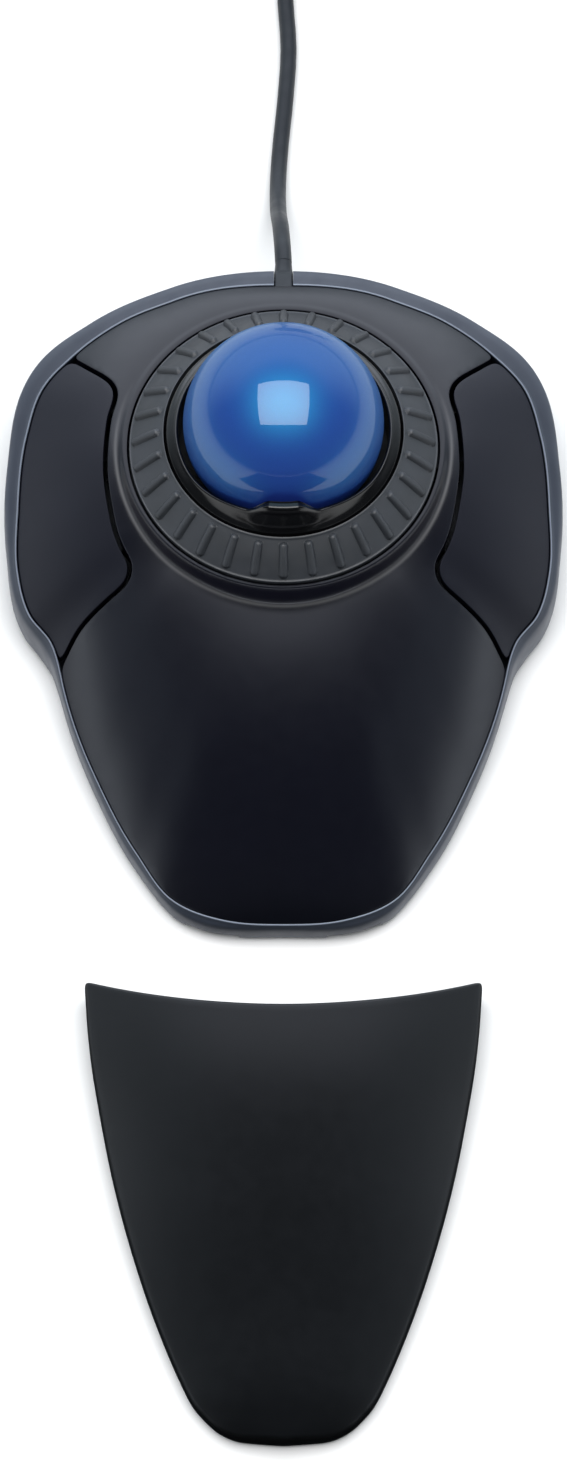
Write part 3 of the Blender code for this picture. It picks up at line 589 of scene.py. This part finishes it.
def make_materials():
    """Every material by its short name. The moulded ones give roughness, grain size and grain depth."""
    cover_black = (0.0022, 0.0020, 0.0070), (0.0026, 0.0024, 0.0078)
    key_black = (0.0085, 0.0082, 0.0165), (0.0092, 0.0089, 0.0178)
    rubber_black = (0.0034, 0.0036, 0.0044), (0.0042, 0.0044, 0.0054)
    cover = moulded("satin_black", *cover_black, 0.33, 0.16, 0.003, specular=0.47, spread=0.012)
    key_plastic = moulded("satin_key", *key_black, 0.50, 0.16, 0.003, specular=0.37, spread=0.012)
    slate = moulded("slate_housing", rgb("4b4f59"), rgb("50545e"), 0.48, 0.20, 0.008, specular=0.4)
    rubber = moulded("rest_rubber", *rubber_black, 0.43, 0.22, 0.008, specular=0.4, spread=0.02)
    made = {
        # Painted highlight: a pale arc on the cover at the collar's foot, standing in for a glint on the
        # fillet.
        "cover": with_painted_highlight(cover, rgb("7d7976")),
        "key": key_plastic.material,
        # Painted highlight: a pale line on the housing's bead along the seam, standing in for a glint.
        "housing": with_painted_highlight(slate, rgb("b4b9c2")),
        "ring": moulded("ring_grip", rgb("222529"), rgb("26292e"), 0.5, 0.12, 0.006).material,
        "bezel": moulded("gloss_black", rgb("060607"), rgb("09090b"), 0.20, 2.0, 0.001, spread=0.02).material,
        "rest": rubber.material,
        "cable": moulded("cable_jacket", rgb("2a2d31"), rgb("2f3236"), 0.50, 0.30, 0.006, 0.3).material,
        "foot": moulded("foot_rubber", rgb("2c2d30"), rgb("323336"), 0.80, 0.25, 0.02, 0.3).material,
        "board": moulded("solder_mask", rgb("0a0f0d"), rgb("0d1411"), 0.35, 0.8, 0.01).material,
        "inner": moulded("inner_moulding", rgb("1a1a1b"), rgb("202021"), 0.55, 0.2, 0.01).material,
        "lens": moulded("clear_lens", rgb("c9d4dc"), rgb("d4dee6"), 0.08, 1.0, 0.002).material,
        "white": moulded("white_moulding", rgb("dcdcd6"), rgb("e4e4df"), 0.40, 0.3, 0.01).material,
        "steel": metal("plated_steel", (0.62, 0.62, 0.64), 0.28),
        "ball": ball_material(),
    }
    made["lens"].node_tree.nodes["Principled BSDF"].inputs["Transmission Weight"].default_value = 0.7
    return made


MATERIALS = make_materials()


# ---------------------------------------------------------------- the mouse's outside

def housing_profile(angle):
    """The housing's section from its underside round the shoulder and over the lip to the floor."""
    shoulder, seam, top = shoulder_r(angle), seam_r(angle), seam_z(angle)
    share = eased(SHOULDER_SHARE, folded(angle))
    base = seam + 0.85
    bulge = base + 0.7 * (shoulder - base)
    wall = [
        (shoulder - 6.0, 1.0), (shoulder - 3.0, 1.0), (shoulder - 0.8, 1.2),
        (shoulder - 0.1, 0.45 * share * top), (shoulder, (share - 0.03) * top),
        (bulge, (1 - 0.28 * (1 - share)) * top - 0.2), (base, top - 0.2),
    ]
    wall = [(p.x, p.y) for p in through(wall, 5)][4:]
    bead = [
        (0.68, -0.02), (0.56, 0.08), (0.40, 0.12), (0.22, 0.08), (0.11, -0.06), (0.07, -0.25), (0.07, -0.5),
    ]
    ledge = top - eased(LEDGE_DEPTH, folded(angle))
    inner = [(seam + 0.07, ledge), (seam - SHELL, ledge), (seam - SHELL, 3.0)]
    return wall + [(seam + r, top + z) for r, z in bead] + inner


def node_plan(name):
    """The middle of a CAD node, seen from above, and its radius."""
    low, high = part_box(name)
    return (low.x + high.x) / 2 / MM, (low.y + high.y) / 2 / MM - AXIS_Y, (high.x - low.x) / 2 / MM


def housing():
    sections = [housing_profile(360 * k / SECTIONS) for k in range(SECTIONS)]
    cuts = []
    for k in range(1, 5):
        x, y, r = node_plan(f"rubber_foot_{k}")
        cuts.append(rod(x, y, 0, FOOT_RECESS_TOP, r + 0.4))
        x, y, r = node_plan(f"housing_screw_{k}")
        cuts.append(rod(x, y, 0, SCREW_RECESS_TOP, SCREW_RECESS_R))
    for side in (-1, 1):
        x0, x1 = sorted(side * x for x in TONGUE_SLOT_X)
        cuts.append(block(x0, x1, *TONGUE_SLOT_Y, 0, TONGUE_SLOT_TOP))
    groove = rod(0, 0, *GROOVE_Y, GROOVE_R)
    groove.transform(Matrix.Translation((0, 0, CABLE_EXIT_Z)) @ Matrix.Rotation(math.radians(-90), 4, "X"))
    slot = block(-SLOT_HALF, SLOT_HALF, *GROOVE_Y, CABLE_EXIT_Z, CABLE_EXIT_Z + SLOT_HEIGHT)
    shell = boolean(around(sections), "DIFFERENCE", joined([*cuts, groove]))
    shell = boolean(shell, "DIFFERENCE", slot)
    shell = piece("housing_shell", shell, "base", MATERIALS["housing"], "housing", "lower_housing", sharp=35)

    # Mask of the painted highlight: a pale line along the bead's crest, in place of a glint.
    def bead_highlight(angle, r, z):
        return float(0.15 < r - seam_r(angle) < 0.5 and z > seam_z(angle) - 0.15)

    mark_painted_highlight(shell, bead_highlight)


def key_curve(distance, short=0.0):
    """The line between key and cover, moved towards the key. It stops short of the seam at both ends."""
    line = [Vector(p) for p in KEY_LINE]
    line = [line[0] + 0.9 * (line[0] - line[1]), *line, line[-1] + 0.7 * (line[-1] - line[-2])]
    fine = evenly(through(line, 12), 0.4)
    moved = [point + distance * Vector((-run.y, run.x)) for point, run in zip(fine, runs(fine))]
    return [p for p in moved if p.length < seam_r(angle_of(p)) - short]


def seam_arc(start, end):
    """Points on the seam from one angle to another."""
    count = max(int(abs(end - start) * 2), 2)
    angles = [start + (end - start) * k / count for k in range(count + 1)]
    return [Vector(on_circle(a, seam_r(a))) for a in angles]


def softened(loop):
    """A closed loop with its corners rounded off."""
    loop = evenly(loop, 0.4, closed=True)
    for _ in range(12):
        loop = [(loop[i - 1] + 2 * p + loop[(i + 1) % len(loop)]) / 4 for i, p in enumerate(loop)]
    return loop


def scatter(limit):
    """Points on rings about the ball, close together by the collar and wider further out."""
    points = []
    r = COLLAR_R + 0.4
    while r < limit:
        spacing = min(0.5 + 0.09 * (r - COLLAR_R), 1.7)
        on_wall = r < COLLAR_FOOT_R + 1
        count = 320 if on_wall else round(2 * math.pi * r / max(spacing, 0.75))
        points += [on_circle(360 * k / count, r) for k in range(count)]
        r += 0.13 if on_wall else 0.8 * spacing
    return points


def cover():
    inner = key_curve(-KEY_GAP / 2)
    right = seam_arc(0, angle_of(inner[0]))[:-1] + inner + seam_arc(angle_of(inner[-1]), 180)[1:]
    left = [Vector((-p.x, p.y)) for p in right[1:-1]]
    outline = softened(list(reversed(right + left[::-1])))
    hole = [Vector(on_circle(360 * k / SECTIONS, COLLAR_R)) for k in range(SECTIONS)]
    plate = moulded_plate([outline, hole], cover_top, scatter(97), SHELL, COVER_RIM, margin=0.3)
    shell = piece("top_shell", plate, "base", MATERIALS["cover"], "cover", "top_cover")

    # Mask of the painted highlight: a pale arc round the front of the collar's foot, in place of a glint.
    def collar_foot_highlight(angle, r, z):
        front = eased([(60, 0), (110, 1)], folded(angle))
        return front * math.exp(-(((r - COLLAR_FOOT_R - 0.3) / 0.35) ** 2))

    mark_painted_highlight(shell, collar_foot_highlight)


def key(side, name):
    inner = key_curve(KEY_GAP / 2, 0.9)
    outline = inner + seam_arc(angle_of(inner[-1]), angle_of(inner[0]))[1:-1]
    if side < 0:
        outline = [Vector((-p.x, p.y)) for p in outline]
    else:
        outline.reverse()
    outline = inset(softened(outline)[::-1], 0.12)
    near_side = [p for p in scatter(60) if p[0] * side > 0]
    plate = moulded_plate([outline], cover_top, near_side, SHELL, KEY_RIM)
    piece(f"{name}_key_cap", plate, f"{name}_button", MATERIALS["key"], "cover", f"{name}_button")


# ---------------------------------------------------------------- ball, bezel and ring

def ball():
    mesh = bmesh.new()
    bmesh.ops.create_icosphere(mesh, subdivisions=6, radius=BALL_R, matrix=Matrix.Translation((0, 0, BALL_Z)))
    piece("blue_ball", mesh, "ball", MATERIALS["ball"], "ball", "ball", sharp=180)


def bezel_rise(angle):
    """How far the bezel's lip stands up: a gentle swell towards the front, with the hood on it."""
    off_front = 180 - folded(angle)
    gentle = LOW_RISE * (1 - eased([(15, 0), (65, 1)], off_front))
    return gentle + HOOD_RISE * (1 - eased([(7, 0), (20, 1)], off_front))


def bezel():
    """A gloss ring whose inner lip rises to a hood at the front, with an outer face that scoops down."""
    sections = []
    for k in range(SECTIONS):
        angle = 360 * k / SECTIONS
        rise = bezel_rise(angle)
        lean = 0.07 * rise
        lip = 0.2 * max(rise - 2.8, 0)
        notch = 0.5 * math.exp(-((folded(angle) / 3.0) ** 2))
        top = BEZEL_TOP_Z + rise - notch
        points = [
            (23.6, 33.9), (23.45, 34.5), (23.0, 34.95 + 0.06 * rise), (22.5, 35.2 + 0.25 * rise),
            (21.95 + lip - 0.5 * lean, top - 0.18 - 0.25 * rise), (21.75 + lip - lean, top),
            (21.45 + 0.5 * lip - lean, top + 0.08),
            (21.15 - lean, top - 0.1), (21.05 - 0.8 * lean, top - 0.6), (21.0, 33.5),
        ]
        outer = [(p.x, p.y) for p in through(points, 3)]
        sections.append([(21.0, RING_BASE_Z), (23.6, RING_BASE_Z), *outer])
    mesh = around(sections, ring=True)
    piece("gloss_bezel", mesh, "base", MATERIALS["bezel"], "gloss_black", "ball_bezel", sharp=60)


def rib_height(share, angle):
    """Height of the raised ribs over the ring's cone: rounded bars with rounded ends."""
    pitch = 360 / RIBS
    off = abs((angle + pitch / 2) % pitch - pitch / 2)
    r = RING_INNER[0] + share * (RING_OUTER[0] - RING_INNER[0])
    across = math.radians(off) * r / RIB_HALF_WIDTH
    along = abs(share - 0.5) / 0.39
    reach = across**2 + max(along - 0.8, 0) ** 2 / 0.04
    return RIB_HEIGHT * (1 - reach) ** 0.45 if reach < 1 else 0.0


def ring():
    (outer_r, outer_z), (inner_r, inner_z) = RING_OUTER, RING_INNER
    start = Vector((inner_r, inner_z))
    cone = Vector((outer_r - inner_r, outer_z - inner_z))
    slope = cone.normalized()
    normal = Vector((-slope.y, slope.x))
    count, rows = RIBS * 28, 60
    sections = []
    for k in range(count):
        angle = 360 * k / count
        face = []
        for i in range(rows + 1):
            share = i / rows
            lift = rib_height(share, angle)
            outer_bead = 0.2 * math.exp(-(((share - 0.97) / 0.02) ** 2))
            inner_bead = 0.12 * math.exp(-(((share - 0.03) / 0.02) ** 2))
            crown = 0.25 * math.sin(math.pi * share) + (outer_bead + inner_bead)
            face.append(tuple(start + share * cone + (lift + crown) * normal))
        lip = [(outer_r + 0.05, outer_z - 0.25), (outer_r, outer_z - 0.5), (outer_r - 0.1, outer_z - 1.0)]
        under = [(30.0, 27.2), (inner_r + 1.6, 31.5), (inner_r + 1.6, RING_BASE_Z), (inner_r, RING_BASE_Z)]
        rim = [(inner_r, inner_z - 0.5), (inner_r + 0.04, inner_z - 0.2)]
        sections.append([*face, *lip, *under, *rim])
    mesh = around(sections, ring=True)
    piece("ribbed_ring", mesh, "scroll_ring", MATERIALS["ring"], "ring", "scroll_ring", sharp=50)


# ---------------------------------------------------------------- wrist rest

def rest_outline(inset_by=0.0):
    """A hollow arc at the back and a long curve on each side to the tip, as an anticlockwise loop."""
    half, corner_y = REST_SIDE[0]
    sagitta = corner_y - REST_BACK_Y
    radius = (half * half + sagitta * sagitta) / (2 * sagitta)
    back = []
    for k in range(-19, 20):
        x = half * k / 20
        back.append(Vector((x, REST_BACK_Y + radius - math.sqrt(radius * radius - x * x))))
    side = [Vector((half, corner_y))]
    for k in range(1, 61):
        y = corner_y + (REST_SIDE[-1][1] - corner_y) * (1 - (1 - k / 60) ** 1.8)
        side.append(Vector((rest_width(y), y)))
    left = [Vector((-p.x, p.y)) for p in side[:-1]]
    loop = evenly(back + side + left[::-1], 0.7, closed=True)
    for _ in range(4):
        loop = [(loop[i - 1] + 2 * p + loop[(i + 1) % len(loop)]) / 4 for i, p in enumerate(loop)]
    loop.reverse()
    return inset(loop, inset_by) if inset_by else loop


def rest_block():
    """The rest as a solid, with a small chamfer underneath and a rounded rim on top."""
    outline = rest_outline()
    centre = Vector((0, REST_CENTRE_Y))
    loops = [[(p.x, p.y, REST_BOTTOM) for p in inset(outline, 0.5)]]
    loops.append([(p.x, p.y, REST_BOTTOM + 0.5) for p in outline])
    for k in range(6):
        a = math.radians(90 * k / 6)
        round_loop = inset(outline, REST_RIM * (1 - math.cos(a)))
        loops.append([(p.x, p.y, rest_z(p.x, p.y) - REST_RIM * (1 - math.sin(a))) for p in round_loop])
    outline = inset(outline, REST_RIM)
    for k in range(30, 0, -1):
        spots = [centre + k / 30 * (p - centre) for p in outline]
        loops.append([(spot.x, spot.y, rest_z(spot.x, spot.y)) for spot in spots])
    loops.append([(centre.x, centre.y, rest_z(*centre))])
    return loft(loops)


def dock_hollow():
    """The space that takes the nose of the mouse, open at the back and underneath."""
    loops = []
    for k in range(14):
        y = REST_DOCK_Y + 3.0 * k
        half = rest_width(y) - REST_WALL - 0.1
        roof = []
        for j in range(-12, 13):
            x = half * j / 12
            roof.append((x, y, rest_z(x, y) - REST_WALL))
        loops.append([(-half, y, -1), *roof, (half, y, -1)])
    return loft(loops)


def rest():
    tray = prism(rest_outline(REST_WALL), 0, REST_PLATE_TOP)
    tray = boolean(tray, "INTERSECT", block(-60, 60, -210, REST_DOCK_Y + 5, -1, 30))
    pad = boolean(rest_block(), "DIFFERENCE", dock_hollow())
    pad = boolean(pad, "DIFFERENCE", tray)
    piece("rest_skin", pad, "wrist_rest", MATERIALS["rest"], "rest_rubber", "rest_pad", sharp=38)


# ---------------------------------------------------------------- cable

def strain_relief():
    """A grommet that fills the housing's slot and tapers down to the cable."""
    def section(y, half_w, low, high, power):
        loop = []
        for k in range(48):
            a = 2 * math.pi * (k + 0.5) / 48
            c, s = math.cos(a), math.sin(a)
            x = half_w * math.copysign(abs(c) ** power, c)
            rise = (high if s > 0 else -low) * abs(s) ** power
            loop.append((x, y, CABLE_EXIT_Z + rise))
        return loop

    stations = [
        (33.0, 3.2, 3.2, 3.2, 1.0), (34.6, 3.2, 3.2, 3.2, 1.0), (34.7, *[SLOT_HALF] * 3, 1.0),
        (38.5, *[SLOT_HALF] * 3, 1.0), (38.6, 1.95, 1.95, 4.6, 0.15), (42.0, 1.95, 1.95, 3.5, 0.15),
        (43.3, 1.95, 1.95, 2.9, 0.2), (43.8, 1.93, 1.93, 2.2, 0.8), (45.5, 1.8, 1.8, 1.8, 1.0),
        (46.9, 1.7, 1.7, 1.7, 1.0),
    ]
    mesh = loft([section(*station) for station in stations])
    return piece("cable_boot", mesh, "base", MATERIALS["cable"], "cable_rubber", "cable_strain_relief")


def coil_points(start_angle, end_angle):
    """Turns that spiral in and out, layer on layer. Angles run anticlockwise from +X."""
    turn = start_angle - end_angle
    per_layer = turn / COIL_LAYERS
    points = []
    count = int(turn / 12)
    for k in range(count + 1):
        done = turn * k / count
        layer = min(int(done / per_layer), COIL_LAYERS - 1)
        share = done / per_layer - layer
        inward = share if layer % 2 == 0 else 1 - share
        r = COIL_OUTER_R - inward * COIL_PITCH * per_layer / 360
        step = eased([(0, 0), (45, 1)], share * per_layer) if layer else 1
        z = CABLE_LIE_Z + COIL_PITCH * (layer - 1 + step)
        angle = math.radians(start_angle - done)
        points.append((COIL_XY[0] + r * math.cos(angle), COIL_XY[1] + r * math.sin(angle), z))
    return points


def coil_tie():
    """A soft strap over the coil."""
    path = [
        (12.3, 0.5), (12.3, 6), (12.4, 12), (13.6, 14.6), (16.5, 15.1), (24.5, 15.1), (27.4, 14.6),
        (28.6, 12), (28.7, 6), (28.7, 0.5),
    ]
    path = evenly(through(path, 6), 0.6)
    strap = [(-4, -0.2), (-3.7, -0.4), (3.7, -0.4), (4, -0.2), (4, 0.2), (3.7, 0.4), (-3.7, 0.4), (-4, 0.2)]
    loops = []
    for spot, run in zip(path, runs(path)):
        loops.append([(across, spot.x - t * run.y, spot.y + t * run.x) for across, t in strap])
    mesh = loft(loops)
    mesh.transform(Matrix.Translation((*COIL_XY, 0)) @ Matrix.Rotation(math.radians(-TIE_ANGLE), 4, "Z"))
    return piece("soft_tie", mesh, "base", MATERIALS["foot"], "foot_rubber", "coil_tie")


def cable():
    """One cord: from the boot along the desk, round a bend, into the flat coil and out to the plug."""
    bend_start = (0.4, 138.4)
    bend = []
    for k in range(1, 4):
        a = math.radians(TURN_IN * k / 4)
        x = bend_start[0] - BEND_R * (1 - math.cos(a))
        bend.append((x, bend_start[1] + BEND_R * math.sin(a), CABLE_LIE_Z))
    coil = coil_points(180 + TURN_IN, 90 - 360 * COIL_TURNS)
    centreline = through([*RUN, *bend, *coil[:-1], *TAIL], 3)
    curve = bpy.data.curves.new("cable_cord", "CURVE")
    curve.dimensions = "3D"
    curve.bevel_depth = CABLE_R * MM
    curve.bevel_resolution = 5
    curve.use_fill_caps = True
    curve.materials.append(MATERIALS["cable"])
    spline = curve.splines.new("POLY")
    spline.points.add(len(centreline) - 1)
    for knot, spot in zip(spline.points, centreline):
        knot.co = (*in_row(spot), 1)
    obj = bpy.data.objects.new("cable_cord", curve)
    bpy.context.scene.collection.objects.link(obj)
    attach(obj, "base")
    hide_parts("cable_run", "cable_coil", "cable_tail")
    strain_relief()
    coil_tie()


# ---------------------------------------------------------------- carried-over CAD nodes

def dress_cad_nodes():
    finishes = {
        "ball_socket": "inner", "ball_bearing": "steel", "sensor_lens": "lens", "sensor_chip": "inner",
        "sensor_board": "board", "encoder_wheel": "inner", "encoder_sensor": "inner", "main_board": "board",
        "controller_chip": "inner", "cable_connector": "white", "cable_lead": "cable",
        "usb_plug_boot": "cable", "usb_plug_shell": "steel", "usb_plug_insert": "white",
        "left_switch_body": "inner", "right_switch_body": "inner",
        "left_switch_plunger": "white", "right_switch_plunger": "white",
        "housing_screw": "steel", "socket_screw": "steel", "board_screw": "steel", "rubber_foot": "foot",
        "rest_foot": "foot", "rest_base": "housing",
    }
    for name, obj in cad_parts.items():
        if obj.hide_render:
            continue
        kind = name.rstrip("0123456789").rstrip("_")
        obj.data.materials.clear()
        obj.data.materials.append(MATERIALS[finishes[kind]])
        obj.data.shade_smooth()
        obj.data.set_sharp_from_angle(angle=math.radians(35))


# ---------------------------------------------------------------- camera, floor and light

def camera():
    data = bpy.data.cameras.new("camera")
    data.lens = CAMERA_LENS
    data.sensor_width = 36.0
    obj = bpy.data.objects.new("camera", data)
    obj.location = in_row(CAMERA_AT)
    obj.rotation_euler = (math.radians(CAMERA_TILT), 0, 0)
    data.clip_start, data.clip_end = 0.01, 20
    bpy.context.scene.collection.objects.link(obj)
    bpy.context.scene.camera = obj


def softbox(name, distance, azimuth, elevation, width, height, radiance, colour):
    """A rectangular light aimed at the ball. The azimuth runs clockwise from the rear, as seen from above."""
    swing = Matrix.Rotation(math.radians(-azimuth), 4, "Z")
    lift = Matrix.Rotation(math.radians(elevation), 4, "X")
    data = bpy.data.lights.new(name, "AREA")
    data.shape = "RECTANGLE"
    data.size, data.size_y = width, height
    data.energy = radiance * math.pi * width * height
    data.color = colour
    obj = bpy.data.objects.new(name, data)
    aim = in_row((0, 0, BALL_Z))
    obj.location = aim + swing @ lift @ Vector((0, distance, 0))
    obj.rotation_euler = (obj.location - aim).to_track_quat("Z", "Y").to_euler()
    bpy.context.scene.collection.objects.link(obj)
    return obj


def link_light(light, names, state):
    """The light reaches only the named pieces, or all but them."""
    group = bpy.data.collections.new(f"{light.name}_group")
    for name in names:
        group.objects.link(bpy.data.objects[name])
    light.light_linking.receiver_collection = group
    for entry in group.collection_objects:
        entry.light_linking.link_state = state


def sky():
    """A dim studio with a paler rear wall."""
    world = bpy.data.worlds.new("studio")
    world.use_nodes = True
    tree = world.node_tree
    coords = tree.nodes.new("ShaderNodeTexCoord")
    split = tree.nodes.new("ShaderNodeSeparateXYZ")
    tree.links.new(coords.outputs["Generated"], split.inputs[0])
    factors = []
    for axis, start, end, low, high in (("Y", 0.0, 0.8, 0.0, 1.0), ("Z", 0.5, 0.95, 1.1, 0.0)):
        node = tree.nodes.new("ShaderNodeMapRange")
        node.interpolation_type = "SMOOTHSTEP"
        for socket, value in (("From Min", start), ("From Max", end), ("To Min", low), ("To Max", high)):
            node.inputs[socket].default_value = value
        tree.links.new(split.outputs[axis], node.inputs["Value"])
        factors.append(node.outputs["Result"])
    total = tree.nodes.new("ShaderNodeMath")
    total.operation = "MULTIPLY_ADD"
    tree.links.new(factors[0], total.inputs[0])
    tree.links.new(factors[1], total.inputs[1])
    total.inputs[2].default_value = 0.09
    tree.nodes["Background"].inputs["Color"].default_value = (0.77, 0.90, 1, 1)
    tree.links.new(total.outputs[0], tree.nodes["Background"].inputs["Strength"])
    bpy.context.scene.world = world


def dark_card():
    """A dark card on the table in front, seen in glossy reflections only."""
    corners = [in_row(p) for p in ((-85, -100, 0.3), (85, -100, 0.3), (420, -900, 0.3), (-420, -900, 0.3))]
    data = bpy.data.meshes.new("front_card")
    data.from_pydata(corners, [], [(0, 1, 2, 3)])
    data.materials.append(MATERIALS["board"])
    card = bpy.data.objects.new("front_card", data)
    bpy.context.scene.collection.objects.link(card)
    card.visible_camera = card.visible_diffuse = card.visible_shadow = False


def studio():
    """A pale table, a dim room and soft lamps, some of which are flagged off some pieces."""
    bpy.ops.mesh.primitive_plane_add(size=8, location=(0, 0, 0))
    floor = bpy.context.object
    floor.name = "floor"
    paint = Paint("white_table", (0.88, 0.88, 0.88), 0.7, specular=0.2)
    paint.bump(paint.noise(6.0), 0.02, 0.1)
    floor.data.materials.append(paint.material)
    sky()
    bpy.context.scene.view_settings.view_transform = "Standard"
    overhead = softbox("overhead", 0.9, 0, 95.6, 0.98, 0.86, 5.2, (1, 1, 1))
    link_light(overhead, ("floor", "blue_ball", "ribbed_ring", "gloss_bezel"), "INCLUDE")
    rear = softbox("rear", 1.5, 0, 43, 1.9, 1.6, 2.2, (0.84, 0.88, 1))
    link_light(rear, ("floor", "blue_ball"), "EXCLUDE")
    for side_name, azimuth in (("left", -80), ("right", 80)):
        light = softbox(f"{side_name}_side", 1.2, azimuth, 42, 0.9, 0.8, 0.35, (0.74, 0.86, 1))
        link_light(light, ("floor", "blue_ball", "gloss_bezel"), "EXCLUDE")
        strip = softbox(f"{side_name}_strip", 1.2, 1.25 * azimuth, 15, 1.2, 0.2, 3.5, (0.85, 0.92, 1))
        link_light(strip, ("floor", "blue_ball", "gloss_bezel"), "EXCLUDE")
    front = softbox("front_strip", 1.2, 180, 14, 2.4, 0.3, 3.5, (0.85, 0.9, 1))
    link_light(front, ("top_shell",), "INCLUDE")
    dark_card()


camera()
cable()
housing()
cover()
for key_side, key_name in ((-1, "left"), (1, "right")):
    key(key_side, key_name)
ball()
bezel()
ring()
rest()
dress_cad_nodes()
studio()
